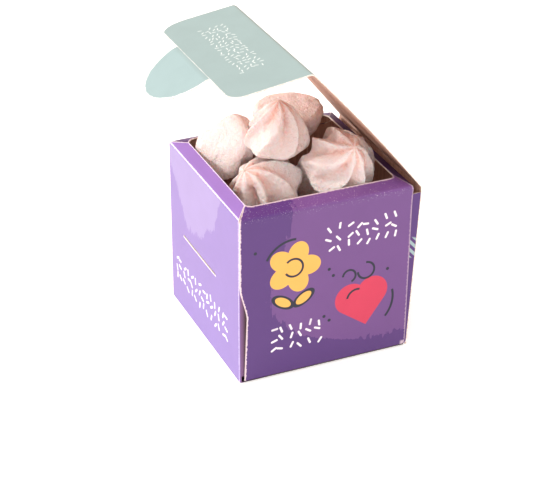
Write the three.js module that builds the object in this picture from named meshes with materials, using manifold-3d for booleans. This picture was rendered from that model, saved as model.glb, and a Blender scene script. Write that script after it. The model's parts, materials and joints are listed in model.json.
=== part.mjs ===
// An open cube-shaped carton heaped with star-piped marshmallow kisses.
// Millimetres, +Z up. The origin is the middle of the base on the table. The printed front
// faces -Y, the wall with the slit faces -X, and the lid swings on the top of the +X wall.

import * as THREE from "three";
import { mergeVertices } from "three/addons/utils/BufferGeometryUtils.js";
import Module from "manifold-3d";

const wasm = await Module();
wasm.setup();

// Driving dimensions of the carton
const CARD = 0.5; // thickness of the board
const BOX = { width: 80, depth: 82, height: 79.5 };
const BASE_GAP = 0.4; // the front panel ends this far above the table
const WALL_LEAN = 3.0; // degrees that the lid's wall leans outwards
const WALL_FOOT = 40.4; // x of that wall's outer face at the table
const HINGE_HEIGHT = 77.4;
const GLUE_FLAP = { width: 12, low: 2, high: 74.6, rise: 1.2 };
const FRONT_CUT = { high: 47, knee: 34, kneeInset: 3.2, footInset: 1.9 };
const SLIT = { middle: 5, length: 38, height: 40.2, opening: 0.8 };
const WELD = 0.05; // pieces of the carton run this far into each other

// The frame round the opening slopes up to its inner edge, pushed up by what is in the box
const FRAME = { rise: 2.5, left: -34, right: 34.5, front: -34.6, back: 35 };
const FRAME_CORNERS = { frontLeft: 2.4, frontRight: 3.4, backRight: 3.6, backLeft: 5 };

// Lid, tuck flap and lock tab, each folded from the one before
const CREASE_GAP = 0.4; // left free on each side of a crease
const LID = { length: 80.7, halfWidth: 41, neckLength: 34, neckInset: 0.8, open: 49.6 };
const FLAP = { length: 36.7, halfWidth: 41, nearCorner: 6.5, farCorner: 7.5, fold: 58 };
const TAB = { length: 21.8, halfWidth: 18.4, roundness: 2.35, fold: 20 };

// Kisses: place of the flat base's centre, degrees of lean and the direction of the lean
const KISSES = [
  {
    name: "kiss_top",
    base: [-5.2, -0.5, 88.7],
    lean: 3.3,
    toward: -137,
    spin: 0.35,
    radius: 14.7,
    height: 23.5,
  },
  {
    name: "kiss_front_right",
    base: [15.8, -16.8, 81.8],
    lean: 42.8,
    toward: -89,
    spin: 0.1,
    radius: 16.9,
    height: 22,
  },
  {
    name: "kiss_front_left",
    base: [-11.9, -8.2, 68],
    lean: 38.4,
    toward: -170,
    spin: 0.2,
    radius: 18.4,
    height: 23,
  },
  {
    name: "kiss_left",
    base: [-27.6, 17.3, 85.5],
    lean: 110.5,
    toward: 22,
    spin: 0,
    radius: 15.4,
    height: 22,
  },
  {
    name: "kiss_back",
    base: [10, 23.9, 95.5],
    lean: 178.7,
    toward: 39,
    spin: 0.3,
    radius: 16.7,
    height: 21,
  },
  {
    name: "kiss_right",
    base: [31.1, 0.7, 79.1],
    lean: 110,
    toward: -161,
    spin: 0.41,
    radius: 14.3,
    height: 14.8,
  },
  {
    name: "kiss_under_left",
    base: [-7.2, 25.4, 62.2],
    lean: 120.5,
    toward: -14,
    spin: 0.2,
    radius: 13.8,
    height: 19.1,
  },
  {
    name: "kiss_under_middle",
    base: [16.4, 15.1, 58.6],
    lean: 97.7,
    toward: 26,
    spin: 0.2,
    radius: 13.3,
    height: 18.4,
  },
];

// Shape of a piped kiss, as shares of its radius and height
const BELLY_AT = 0.16; // height of the widest place
const FOOT_RADIUS = 0.9; // radius at the flat base
const NIB_RADIUS = 0.14;
const NIB_FROM = 0.8;
const VALLEY_DEPTH = 0.26;
const RIDGES = 8;
const TWIST = 0.3; // radians from base to tip
const WOBBLE = 0.035; // how far a kiss is from round

// What holds the kisses up: a plain block with simple kisses on its top
const BLOCK = { left: -39.2, right: 39.5, halfDepth: 39.7, bottom: 0.8, top: 45 };
const HIDDEN = { radius: 13.2, height: 20, base: 40, pitch: 25.5, jitter: 1.2 };
const CLEARANCE = 0.8; // round each kiss that lies in a hollow of the block

const CARD_PAINT = { color: 0x8a68b0, roughness: 0.55, metalness: 0 };
const LID_PAINT = { color: 0xb9d5d5, roughness: 0.55, metalness: 0 };
const KISS_PAINT = { color: 0xf5e4e4, roughness: 0.9, metalness: 0 };
const SHADE_PAINT = { color: 0xe0b4a4, roughness: 0.9, metalness: 0 };

const X = new THREE.Vector3(1, 0, 0);
const Y = new THREE.Vector3(0, 1, 0);
const Z = new THREE.Vector3(0, 0, 1);
const radians = THREE.MathUtils.degToRad;

function solidFrom(geometry) {
  const bare = geometry.clone();
  bare.deleteAttribute("normal");
  bare.deleteAttribute("uv");
  const merged = mergeVertices(bare, 1e-4);
  return new wasm.Manifold(
    new wasm.Mesh({
      numProp: 3,
      vertProperties: merged.attributes.position.array,
      triVerts: new Uint32Array(merged.index.array),
    }),
  );
}

function geometryFrom(solid) {
  const mesh = solid.getMesh();
  const geometry = new THREE.BufferGeometry();
  geometry.setAttribute("position", new THREE.BufferAttribute(mesh.vertProperties, 3));
  geometry.setIndex(new THREE.BufferAttribute(mesh.triVerts, 1));
  geometry.computeVertexNormals();
  return geometry;
}

function named(name, geometry, paint) {
  const mesh = new THREE.Mesh(geometry, new THREE.MeshStandardMaterial(paint));
  mesh.name = name;
  return mesh;
}

function shapeOf(points) {
  return new THREE.Shape(points.map(([a, b]) => new THREE.Vector2(a, b)));
}

// A sheet of card: its outline lies in the plane of u and v, its thickness along u x v
function sheet(shape, origin, u, v) {
  const geometry = new THREE.ExtrudeGeometry(shape, {
    depth: CARD,
    bevelEnabled: false,
    curveSegments: 10,
  });
  const normal = new THREE.Vector3().crossVectors(u, v);
  return geometry.applyMatrix4(new THREE.Matrix4().makeBasis(u, v, normal).setPosition(...origin));
}

const side = BOX.width / 2;
const face = BOX.depth / 2;
const wallTop = BOX.height - 0.2;
const lean = radians(WALL_LEAN);
const wallUp = new THREE.Vector3(Math.sin(lean), 0, Math.cos(lean));
const wallFace = (z) => WALL_FOOT + z * Math.tan(lean);

function frontPanel() {
  const cut = FRONT_CUT;
  const outline = shapeOf([
    [-side + cut.footInset, BASE_GAP],
    [side, BASE_GAP],
    [side, wallTop],
    [-side, wallTop],
    [-side, cut.high],
    [-side + cut.kneeInset, cut.knee],
  ]);
  return sheet(outline, [0, -face + CARD, 0], X, Z);
}

function backPanel() {
  const outline = shapeOf([
    [-side, BASE_GAP],
    [side, BASE_GAP],
    [side, wallTop],
    [-side, wallTop],
  ]);
  return sheet(outline, [0, face - CARD, 0], X.clone().negate(), Z);
}

function slitWall() {
  const end = face - CARD;
  const outline = shapeOf([
    [-end, 0],
    [end, 0],
    [end, wallTop],
    [-end, wallTop],
  ]);
  const low = SLIT.height - SLIT.opening / 2;
  const high = SLIT.height + SLIT.opening / 2;
  const near = SLIT.middle - SLIT.length / 2;
  const far = SLIT.middle + SLIT.length / 2;
  outline.holes.push(
    new THREE.Path([
      new THREE.Vector2(near, low),
      new THREE.Vector2(far, low),
      new THREE.Vector2(far, high),
      new THREE.Vector2(near, high),
    ]),
  );
  return sheet(outline, [-side, 0, 0], Y, Z);
}

function lidWall() {
  const end = face - CARD;
  const top = (HINGE_HEIGHT - CREASE_GAP) / Math.cos(lean);
  const outline = shapeOf([
    [-end, WELD],
    [end, WELD],
    [end, top],
    [-end, top],
  ]);
  const foot = [WALL_FOOT - CARD * Math.cos(lean), 0, CARD * Math.sin(lean)];
  return sheet(outline, foot, Y, wallUp);
}

function base() {
  const near = face - 0.2;
  const outline = shapeOf([
    [-side + WELD, -near],
    [WALL_FOOT - CARD / 2, -near],
    [WALL_FOOT - CARD / 2, near],
    [-side + WELD, near],
  ]);
  return sheet(outline, [0, 0, 0], X, Y);
}

// Flaps glued behind the front and back panels: plain ones on the slit wall, and ones on the
// leaning wall that show as a strip beyond the edge of the panel
function glueFlaps(y) {
  const { width, low, high, rise } = GLUE_FLAP;
  const inner = side - width;
  const atSlit = shapeOf([
    [-side + WELD, low],
    [-inner, low + 3],
    [-inner, high],
    [-side + WELD, high + 2],
  ]);
  const reach = (z) => wallFace(z) - CARD / 2;
  const atLid = shapeOf([
    [inner, low + 3],
    [side - 0.6, 0.6],
    [reach(low), low],
    [reach(high + rise), high + rise],
    [side, high],
    [inner, high - 1],
  ]);
  return [sheet(atSlit, [0, y, 0], X, Z), sheet(atLid, [0, y, 0], X, Z)];
}

// Ring of four mitred strips with cut corners, higher at the opening than at the walls
function frame() {
  const { left, right, front, back, rise } = FRAME;
  const c = FRAME_CORNERS;
  const inner = [
    [left, front + c.frontLeft],
    [left + c.frontLeft * 0.8, front],
    [right - c.frontRight * 0.7, front],
    [right, front + c.frontRight],
    [right, back - c.backRight],
    [right - c.backRight, back],
    [left + c.backLeft, back],
    [left, back - c.backLeft * 0.8],
  ];
  const corners = [
    [-side, -face],
    [side, -face],
    [side, face],
    [-side, face],
  ];
  const outer = inner.map((_, i) => corners[Math.floor(i / 2)]);
  const rings = [
    outer.map(([x, y]) => [x, y, BOX.height]),
    inner.map(([x, y]) => [x, y, BOX.height + rise]),
    inner.map(([x, y]) => [x, y, BOX.height + rise - CARD]),
    outer.map(([x, y]) => [x, y, BOX.height - CARD]),
  ];
  const positions = [];
  rings.forEach((ring, k) => {
    const next = rings[(k + 1) % rings.length];
    ring.forEach((a, i) => {
      const j = (i + 1) % ring.length;
      const quad = [a, ring[j], next[j], next[i]];
      if (quad[0].join() !== quad[1].join()) positions.push(...quad[0], ...quad[1], ...quad[2]);
      if (quad[2].join() !== quad[3].join()) positions.push(...quad[0], ...quad[2], ...quad[3]);
    });
  });
  const geometry = new THREE.BufferGeometry();
  geometry.setAttribute("position", new THREE.Float32BufferAttribute(positions, 3));
  return geometry;
}

function cartonGeometry() {
  const pieces = [
    base(),
    frontPanel(),
    backPanel(),
    slitWall(),
    lidWall(),
    ...glueFlaps(-face + 2 * CARD - WELD),
    ...glueFlaps(face - CARD + WELD),
    frame(),
  ];
  return geometryFrom(pieces.map(solidFrom).reduce((whole, piece) => whole.add(piece)));
}

// Outlines of the lid's parts: distance from the crease, then y
function lidShape() {
  const { length, halfWidth, neckLength, neckInset } = LID;
  const neck = halfWidth - neckInset;
  return shapeOf([
    [CREASE_GAP, -neck],
    [neckLength, -neck],
    [neckLength + neckInset, -halfWidth],
    [length - CREASE_GAP, -halfWidth],
    [length - CREASE_GAP, halfWidth],
    [neckLength + neckInset, halfWidth],
    [neckLength, neck],
    [CREASE_GAP, neck],
  ]);
}

function flapShape() {
  const { length, halfWidth, nearCorner, farCorner } = FLAP;
  const end = length - CREASE_GAP;
  const shape = new THREE.Shape();
  shape.moveTo(CREASE_GAP, -halfWidth);
  shape.lineTo(end - nearCorner, -halfWidth);
  shape.quadraticCurveTo(end - 0.8, -halfWidth + 0.6, end, -halfWidth + nearCorner);
  shape.lineTo(end, halfWidth - farCorner);
  shape.quadraticCurveTo(end - 0.8 * farCorner, halfWidth - 0.5, end - 1.7 * farCorner, halfWidth);
  shape.lineTo(CREASE_GAP, halfWidth);
  return shape;
}

function tabShape() {
  const { length, halfWidth, roundness } = TAB;
  const steps = 28;
  const points = [];
  for (let i = 0; i <= steps; i++) {
    const angle = (Math.PI * i) / steps;
    const along = length * Math.abs(Math.sin(angle)) ** (2 / roundness);
    const across = -halfWidth * Math.sign(Math.cos(angle)) * Math.abs(Math.cos(angle)) ** (2 / roundness);
    points.push([Math.max(along, CREASE_GAP), across]);
  }
  return shapeOf(points);
}

// A flap of card in a group whose origin is its crease; it reaches along -X from there
function folded(name, shape, angle) {
  const group = new THREE.Group();
  group.rotation.y = radians(angle);
  group.add(named(name, sheet(shape, [0, 0, CARD], X.clone().negate(), Y), LID_PAINT));
  return group;
}

// Radius of a kiss at a share of its height and an angle about its axis: a dome over a
// slightly drawn-in foot, a pinched nib, and sharp ridges with hollow valleys between them
function kissRadius(radius, share, angle, number) {
  const up = Math.min(Math.max((share - BELLY_AT) / 0.8, 0), 1);
  const dome = (1 - up ** 1.7) ** 0.7;
  const swell = Math.sin((Math.PI / 2) * Math.min(share / BELLY_AT, 1));
  const foot = FOOT_RADIUS + (1 - FOOT_RADIUS) * swell;
  const nib = NIB_RADIUS * Math.min((1 - share) / (1 - NIB_FROM), 1);
  const valley = Math.abs(Math.sin((RIDGES * (angle + TWIST * share)) / 2)) ** 1.3;
  const depth = VALLEY_DEPTH * (0.55 + 0.75 * share);
  const wobble = Math.sin(2 * angle + 2.4 * number) + 0.6 * Math.sin(3 * angle + 4.1 * number);
  return radius * Math.max(foot * dome, nib) * (1 - depth * valley) * (1 + WOBBLE * wobble);
}

// Rings of points from base to tip that turn with the ridges, so that an edge runs up each crest
function kissGeometry({ radius, height }, number, stepsPerRidge, rings) {
  const around = RIDGES * stepsPerRidge;
  const positions = [0, 0, 0];
  for (let i = 0; i < rings; i++) {
    const share = (i / rings) ** 0.9;
    for (let j = 0; j < around; j++) {
      const angle = (2 * Math.PI * j) / around - TWIST * share;
      const r = kissRadius(radius, share, angle, number);
      positions.push(r * Math.cos(angle), r * Math.sin(angle), height * share);
    }
  }
  positions.push(0, 0, height);
  const tip = 1 + rings * around;
  const index = [];
  for (let j = 0; j < around; j++) {
    const next = (j + 1) % around;
    index.push(0, 1 + next, 1 + j);
    for (let i = 0; i < rings - 1; i++) {
      const low = 1 + i * around;
      const high = low + around;
      index.push(low + j, low + next, high + next, low + j, high + next, high + j);
    }
    const last = 1 + (rings - 1) * around;
    index.push(last + j, last + next, tip);
  }
  const geometry = new THREE.BufferGeometry();
  geometry.setAttribute("position", new THREE.Float32BufferAttribute(positions, 3));
  geometry.setIndex(index);
  geometry.computeVertexNormals();
  return geometry;
}

// Turns a kiss about its own axis, leans it over and sets down the centre of its base
function standing({ base: foot, lean: tilt, toward, spin = 0 }) {
  const t = radians(tilt);
  const a = radians(toward);
  const w = new THREE.Vector3(Math.sin(t) * Math.cos(a), Math.sin(t) * Math.sin(a), Math.cos(t));
  const u = new THREE.Vector3(-Math.sin(a), Math.cos(a), 0);
  const v = new THREE.Vector3().crossVectors(w, u);
  return new THREE.Matrix4()
    .makeBasis(u, v, w)
    .setPosition(...foot)
    .multiply(new THREE.Matrix4().makeRotationZ(spin));
}

function lowerLayers() {
  const { left, right, halfDepth, bottom, top } = BLOCK;
  const block = new THREE.BoxGeometry(right - left, 2 * halfDepth, top - bottom);
  block.translate((left + right) / 2, 0, (top + bottom) / 2);
  let whole = solidFrom(block);
  for (let row = -1; row <= 1; row++) {
    for (let column = -1; column <= 1; column++) {
      const number = 3 * row + column + 4;
      const shift = HIDDEN.jitter * Math.sin(5.3 * number);
      const kiss = kissGeometry(HIDDEN, number, 2, 6);
      kiss.rotateZ(0.7 * number);
      kiss.translate(HIDDEN.pitch * column + shift, HIDDEN.pitch * row - shift, HIDDEN.base);
      whole = whole.add(solidFrom(kiss));
    }
  }
  KISSES.forEach((kiss, number) => {
    const larger = { radius: kiss.radius + CLEARANCE, height: kiss.height + 2 * CLEARANCE };
    const room = kissGeometry(larger, number, 2, 11);
    room.translate(0, 0, -CLEARANCE);
    whole = whole.subtract(solidFrom(room.applyMatrix4(standing(kiss))));
  });
  const bodies = whole.decompose().sort((a, b) => b.volume() - a.volume());
  return geometryFrom(bodies[0]);
}

const part = new THREE.Group();
part.add(named("carton", cartonGeometry(), CARD_PAINT));

const lid = folded("lid_panel", lidShape(), LID.open);
lid.position.set(wallFace(HINGE_HEIGHT), 0, HINGE_HEIGHT);
const flap = folded("tuck_flap", flapShape(), -FLAP.fold);
flap.position.x = -LID.length;
const tab = folded("lock_tab", tabShape(), -TAB.fold);
tab.position.x = -FLAP.length;
part.add(lid);
lid.add(flap);
flap.add(tab);

KISSES.forEach((kiss, number) => {
  const mesh = named(kiss.name, kissGeometry(kiss, number, 4, 11), KISS_PAINT);
  mesh.applyMatrix4(standing(kiss));
  part.add(mesh);
});
part.add(named("lower_layers", lowerLayers(), SHADE_PAINT));

export default part;
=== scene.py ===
"""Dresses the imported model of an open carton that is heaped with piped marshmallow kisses.

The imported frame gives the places. This file adds the printed card with its folds and cut
edges, the fine surface of the kisses, and a soft studio with the photograph's camera.
Lengths are millimetres until they go into a mesh.
"""

import json
import math
from typing import NamedTuple

import bpy
import numpy as np
from mathutils import Matrix, Vector


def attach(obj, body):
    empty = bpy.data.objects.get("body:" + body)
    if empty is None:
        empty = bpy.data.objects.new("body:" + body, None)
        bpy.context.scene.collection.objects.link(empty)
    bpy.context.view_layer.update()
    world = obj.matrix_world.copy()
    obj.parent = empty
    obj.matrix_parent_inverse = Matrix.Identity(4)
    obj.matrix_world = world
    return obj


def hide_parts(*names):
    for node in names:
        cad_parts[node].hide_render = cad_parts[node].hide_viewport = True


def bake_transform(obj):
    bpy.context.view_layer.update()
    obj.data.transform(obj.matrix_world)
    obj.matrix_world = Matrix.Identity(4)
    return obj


bl_info = {
    "name": "Carton of marshmallow kisses",
    "version": (1, 0, 0),
    "blender": (4, 5, 0),
    "location": "3D View > Sidebar > Carton",
    "description": "Printed card, creases and piped kisses around a packed carton model",
    "category": "Object",
}

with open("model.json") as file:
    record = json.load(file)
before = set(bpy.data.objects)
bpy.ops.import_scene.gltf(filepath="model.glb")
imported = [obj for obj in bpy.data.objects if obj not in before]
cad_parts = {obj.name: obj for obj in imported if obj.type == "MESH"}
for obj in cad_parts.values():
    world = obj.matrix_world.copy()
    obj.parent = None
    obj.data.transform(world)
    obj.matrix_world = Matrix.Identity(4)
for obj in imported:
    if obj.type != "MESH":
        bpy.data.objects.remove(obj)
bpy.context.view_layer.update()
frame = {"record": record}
MM = 0.001

# The carton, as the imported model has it
CARD = 0.5
SIDE = 40.0  # half the width
FACE = 41.0  # half the depth
TOP = 79.5
WALL_FOOT = 40.4
WALL_LEAN = math.radians(3.0)
BASE_GAP = 0.4
FRONT_CUT = {"high": 47.0, "knee": 34.0, "knee_inset": 3.2, "foot_inset": 1.9}
SLIT = {"near": -14.0, "far": 24.0, "low": 39.7, "high": 40.7}
OPENING = {"left": -34.0, "right": 34.5, "front": -34.6, "back": 35.0, "rise": 2.5}
CORNERS = {"front_left": 2.4, "front_right": 3.4, "back_right": 3.6, "back_left": 5.0}
LID = {"length": 80.7, "half": 41.0, "neck": 34.0, "neck_inset": 0.8}
FLAP = {"length": 36.7, "half": 41.0, "near_corner": 6.5, "far_corner": 7.5}
TAB = {"length": 21.8, "half": 18.4, "roundness": 2.35}
LID_ANGLE, FLAP_ANGLE, TAB_ANGLE = 49.6, -8.4, -28.4  # above the horizontal, towards -X
HINGES = {
    joint["name"]: np.array(joint["pos_m"]) / MM
    for joint in frame["record"]["behaviour"]["joints"]
}
ALONG_CREASE = np.array([0.0, 1.0, 0.0])
# Body that turns, body it turns on, node, half length, start on the sheet, print
FOLDS = (
    ("lid", "box", "lid_panel", 40.2, 76.4, "lid wall print"),
    ("flap", "lid", "tuck_flap", 41.0, 119.7, "mint print"),
    ("tab", "flap", "lock_tab", 18.3, 156.4, "mint print"),
)
# Width of the frame round the opening, and the way from the wall to the opening
STRIPS = {"front": (6.4, (0, 1)), "back": (6.0, (0, -1)), "left": (6.0, (1, 0))}
WALL_ROWS = 60


class Kiss(NamedTuple):
    """Place and form of one kiss. Angles of place are degrees, those of form radians."""

    foot: tuple  # middle of the flat base
    lean: float
    toward: float
    turn: float
    radius: float
    height: float
    seed: int
    ridges: int = 7
    depth: float = 1.0  # of the valleys, as a share of the common one
    root: float = 0.3  # share of the depth at the base
    twist: float = -0.9  # from base to tip
    dents: tuple = ()  # degrees round the axis, and share of the radius that is pressed in


KISSES = {
    "kiss_top": Kiss((-5.2, -0.5, 88.7), 3.3, -137, 0.9, 14.7, 23.5, 0),
    "kiss_front_right": Kiss(
        (15.8, -16.8, 81.8), 42.8, -89, 0.1, 16.9, 22.0, 1, root=0.35, dents=((-13, 0.2),)
    ),
    "kiss_front_left": Kiss(
        (-11.9, -8.2, 68.0), 38.4, -170, 0.2, 18.4, 23.0, 2, 8, 1.1, 0.6, -0.6
    ),
    "kiss_left": Kiss(
        (-27.6, 17.3, 85.5), 110.5, 22, 0.0, 15.4, 22.0, 3, depth=0.45,
        dents=((55, 0.36), (13, 0.2), (128, -0.28)),
    ),
    "kiss_back": Kiss(
        (10.0, 23.9, 95.5), 178.7, 39, 0.3, 16.7, 21.0, 4, 7, 0.4, 0.2, dents=((-26, 0.12),)
    ),
    "kiss_right": Kiss(
        (31.1, 0.7, 79.1), 110.0, -161, 0.41, 14.3, 14.8, 5, depth=0.7, dents=((27, -0.4),)
    ),
    "kiss_under_left": Kiss((-7.2, 25.4, 62.2), 120.5, -14, 0.2, 13.8, 19.1, 6),
    "kiss_under_middle": Kiss((16.4, 15.1, 58.6), 97.7, 26, 0.2, 13.3, 18.4, 7),
}
BELLY_AT = 0.16  # height of the widest place, as a share
SHOWN_GRID = (192, 90)  # points round a kiss and up its side
HIDDEN_GRID = (96, 40)
HIDDEN = {"radius": 13.2, "height": 20.0, "base": 40.0, "pitch": 25.5, "jitter": 1.2}

# Tints that a user does not change, with full opacity
TINTS = {
    "front sprinkles": (0.86, 0.80, 0.86, 1.0),
    "front flecks": (0.8, 0.66, 0.82, 1.0),
    "front wear": (0.78, 0.62, 0.68, 1.0),
    "side sprinkles": (0.92, 0.89, 0.97, 1.0),
    # Painted light: the slit side's frame strip, deeper than the wall's sheened lilac
    "side strip": (0.30, 0.162, 0.52, 1.0),
    "slit lips": (0.9, 0.84, 0.92, 1.0),
    # Wear at the slit side's edges, and a painted highlight along its folds
    "side wear and fold highlight": (0.80, 0.70, 0.90, 1.0),
    "plain wear": (0.80, 0.70, 0.82, 1.0),
    # Painted shade on the flap that lies behind the front panel's edge
    "notch corner": (0.17, 0.07, 0.19, 1.0),
    "notch flap": (0.035, 0.005, 0.015, 1.0),
    "mint sprinkles": (0.84, 0.92, 0.92, 1.0),
    "mint wear": (0.86, 0.90, 0.88, 1.0),
    "dark core": (0.72, 0.58, 0.50, 1.0),
    "pale core": (0.93, 0.87, 0.82, 1.0),
    # Painted shade in the kisses' pits
    "pore": (0.66, 0.33, 0.26, 1.0),
    "cool sky": (1.0, 0.975, 0.96, 1.0),
    "warm sky": (1.0, 0.72, 0.56, 1.0),
}
# Near-black outside of the base: painted shade for the dark line under the front panel
BASE_SHADE = (0.035, 0.010, 0.010)
# Drawn lines on the front: middle, radius and half width, then the angles where they run
FRONT_RINGS = (
    ((-15.5, 52.5), 4.2, 0.5, -2.6, 2.4),
    ((-15.5, 52.5), 13.6, 0.55, 1.5, 2.7),
    ((17.5, 27.5), 14.6, 0.55, -0.7, 0.25),
    ((14.5, 30.5), 4.6, 0.5, 1.3, 3.0),
    ((10.6, 42.4), 3.0, 0.5, -1.2, 3.1),
    ((18.6, 43.6), 3.9, 0.5, -3.1, 1.6),
)
FRONT_DOTS = ((-33, 63), (1, 48), (3, 44.5), (29, 42), (-1, 25), (1.5, 22.5))

# The camera stands where the carton's corners in the photograph put it
CAMERA = {
    "place": (-274.18, -608.29, 412.75),
    "azimuth": -23.788,
    "elevation": 29.438,
    "roll": 0.297,
    "focal_px": 1714.77,
    "image_width_px": 550,
}


def number_setting(name, description, default, **limits):
    """A number that a user may change."""
    return bpy.props.FloatProperty(name=name, description=description, default=default, **limits)


def length_setting(name, description, default, **limits):
    """A length that a user may change. The default and the limits are millimetres."""
    limits = {end: limit * MM for end, limit in limits.items()}
    return number_setting(name, description, default * MM, unit="LENGTH", **limits)


def colour_setting(name, description, default):
    """A colour that a user may change."""
    return bpy.props.FloatVectorProperty(
        name=name, description=description, default=default, size=3, subtype="COLOR", min=0, max=1
    )


class CartonSettings(bpy.types.PropertyGroup):
    """Sizes of the card work that a user may change."""

    fold_radius: length_setting(
        "Fold radius", "Outer radius of the soft folds round the top", 1.6, min=0.2, max=4
    )
    panel_bulge: length_setting("Panel bulge", "How far the middle of a wall stands out", 0.25)
    lid_bow: length_setting("Lid bow", "How far the middle of the lid bows outwards", 0.9)


class KissSettings(bpy.types.PropertyGroup):
    """Form of the piped kisses."""

    valley_depth: number_setting(
        "Valley depth",
        "Depth of the valleys between ridges as a share of the radius",
        0.28,
        min=0.0,
        max=0.5,
        subtype="FACTOR",
    )
    streak: length_setting("Streaks", "Height of the fine streaks that the nozzle leaves", 0.04)


class ColourSettings(bpy.types.PropertyGroup):
    """Inks, card and marshmallow, with painted sheen on the slit side and painted shade in the kisses'
    valleys.
    """

    front_ink: colour_setting("Front ink", "Deep purple of the front", (0.083, 0.027, 0.171))
    front_field: colour_setting(
        "Front brushed field", "Lighter purple brushed over the front", (0.148, 0.058, 0.226)
    )
    # The slit side's lilacs are lighter than the front's purple partly as painted sheen: the key sun's
    # light on that side is painted into them.
    side_ink_and_sheen: colour_setting("Slit side ink and sheen", "Lilac of the side with the slit", (0.240, 0.160, 0.42))
    side_field_and_sheen: colour_setting(
        "Slit side brushed field and sheen", "Paler lilac brushed over that side", (0.313, 0.238, 0.475)
    )
    mint: colour_setting("Mint", "Outside of the lid and its flaps", (0.325, 0.455, 0.465))
    yellow: colour_setting("Yellow", "Flower on the front", (0.82, 0.44, 0.085))
    red: colour_setting("Red", "Heart on the front", (0.60, 0.032, 0.086))
    navy: colour_setting("Navy", "Outlines and dots on the front", (0.008, 0.011, 0.03))
    board: colour_setting("Board", "Unprinted inside of the card", (0.50, 0.29, 0.215))
    marshmallow: colour_setting("Marshmallow", "Crests and bellies of the kisses", (0.895, 0.79, 0.775))
    # Painted shade: the valley colour stands for the warm shade in the creases between ridges.
    valley: colour_setting("Valleys", "Valleys between the ridges of the kisses", (0.84, 0.47, 0.38))


class StudioSettings(bpy.types.PropertyGroup):
    """Light round the carton."""

    key_power: number_setting("Key light", "Strength of the sun behind on the left", 2.4, min=0.0)
    fill_power: number_setting("Fill light", "Strength of the broad sun in front", 0.5, min=0.0)
    sky_power: number_setting("Room light", "Strength of the even light all round", 1.0, min=0.0)


# Meshes


def graded(length, middle, ends=(0.0, 0.15, 0.4, 0.9, 1.8)):
    """Places from 0 to 1 along a length: fine steps at both ends, even ones in between."""
    near = np.array(ends) / length
    between = np.linspace(near[-1], 1 - near[-1], middle)[1:-1]
    return np.concatenate([near, between, 1 - near[::-1]])


def grid_quads(rows, columns, closed=False):
    """Corner numbers of the quads of a grid of points, one row of points after another."""
    index = np.arange(rows * columns).reshape(rows, columns)
    if closed:
        index = np.concatenate([index, index[:, :1]], axis=1)
    corners = [index[:-1, :-1], index[1:, :-1], index[1:, 1:], index[:-1, 1:]]
    return np.stack(corners, axis=-1)


def add_mesh(name, points, faces, materials, slots=None, marks=None):
    """A mesh object from points in millimetres, its faces, and values on its points."""
    mesh = bpy.data.meshes.new(name)
    mesh.from_pydata((points * MM).tolist(), [], [list(map(int, face)) for face in faces])
    for material in materials:
        mesh.materials.append(material)
    if slots is not None:
        mesh.polygons.foreach_set("material_index", np.asarray(slots, np.int32))
    for mark, values in (marks or {}).items():
        values = np.asarray(values, np.float32)
        kind = "FLOAT_VECTOR" if values.ndim == 2 else "FLOAT"
        layer = mesh.attributes.new(mark, kind, "POINT")
        layer.data.foreach_set("vector" if values.ndim == 2 else "value", values.ravel())
    mesh.polygons.foreach_set("use_smooth", np.ones(len(mesh.polygons), bool))
    mesh.set_sharp_from_angle(angle=math.radians(38))
    mesh.update()
    piece = bpy.data.objects.new(name, mesh)
    bpy.context.collection.objects.link(piece)
    return piece


def grid_normals(points, outward):
    """Unit normals of a grid: the cross product of its two directions, turned outward."""
    down = np.gradient(points, axis=0)
    across = np.gradient(points, axis=1)
    normals = np.cross(down, across)
    normals /= np.maximum(np.linalg.norm(normals, axis=-1, keepdims=True), 1e-9)
    return normals * outward


def card_sheet(name, points, flat, materials, outward=1, keep=None, under=None):
    """A sheet of card with its thickness, whose printed face runs through a grid of points.

    The back face lies one thickness behind the front along the normals, or at under. Each
    border edge of the front, also round a hole, gets a quad of cut edge to the back.
    flat holds a place on the flat sheet for each point, and its distance from an edge.
    """
    rows, columns = points.shape[:2]
    count = rows * columns
    front = points.reshape(-1, 3)
    if under is None:
        under = points - grid_normals(points, outward) * CARD
    quads = grid_quads(rows, columns)
    quads = (quads if keep is None else quads[keep]).reshape(-1, 4)
    if outward < 0:
        quads = quads[:, ::-1]
    edges = np.concatenate([quads[:, [i, (i + 1) % 4]] for i in range(4)])
    code = edges[:, 0] * count + edges[:, 1]
    twin = edges[:, 1] * count + edges[:, 0]
    border = edges[~np.isin(code, twin)]
    rim = np.stack([border[:, 1], border[:, 0], border[:, 0] + count, border[:, 1] + count], 1)
    faces = np.concatenate([quads, quads[:, ::-1] + count, rim])
    slots = np.repeat([0, 1, 2], [len(quads), len(quads), len(rim)])
    marks = {"flat": np.tile(flat.reshape(-1, 3), (2, 1))}
    corners = np.concatenate([front, under.reshape(-1, 3)])
    return add_mesh(name, corners, faces, materials, slots, marks)


def place(piece, body, node):
    """Parents a piece to the body it moves with and hides the imported solid that it stands for."""
    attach(piece, body)
    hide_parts(node)
    return piece


# Materials


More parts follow.
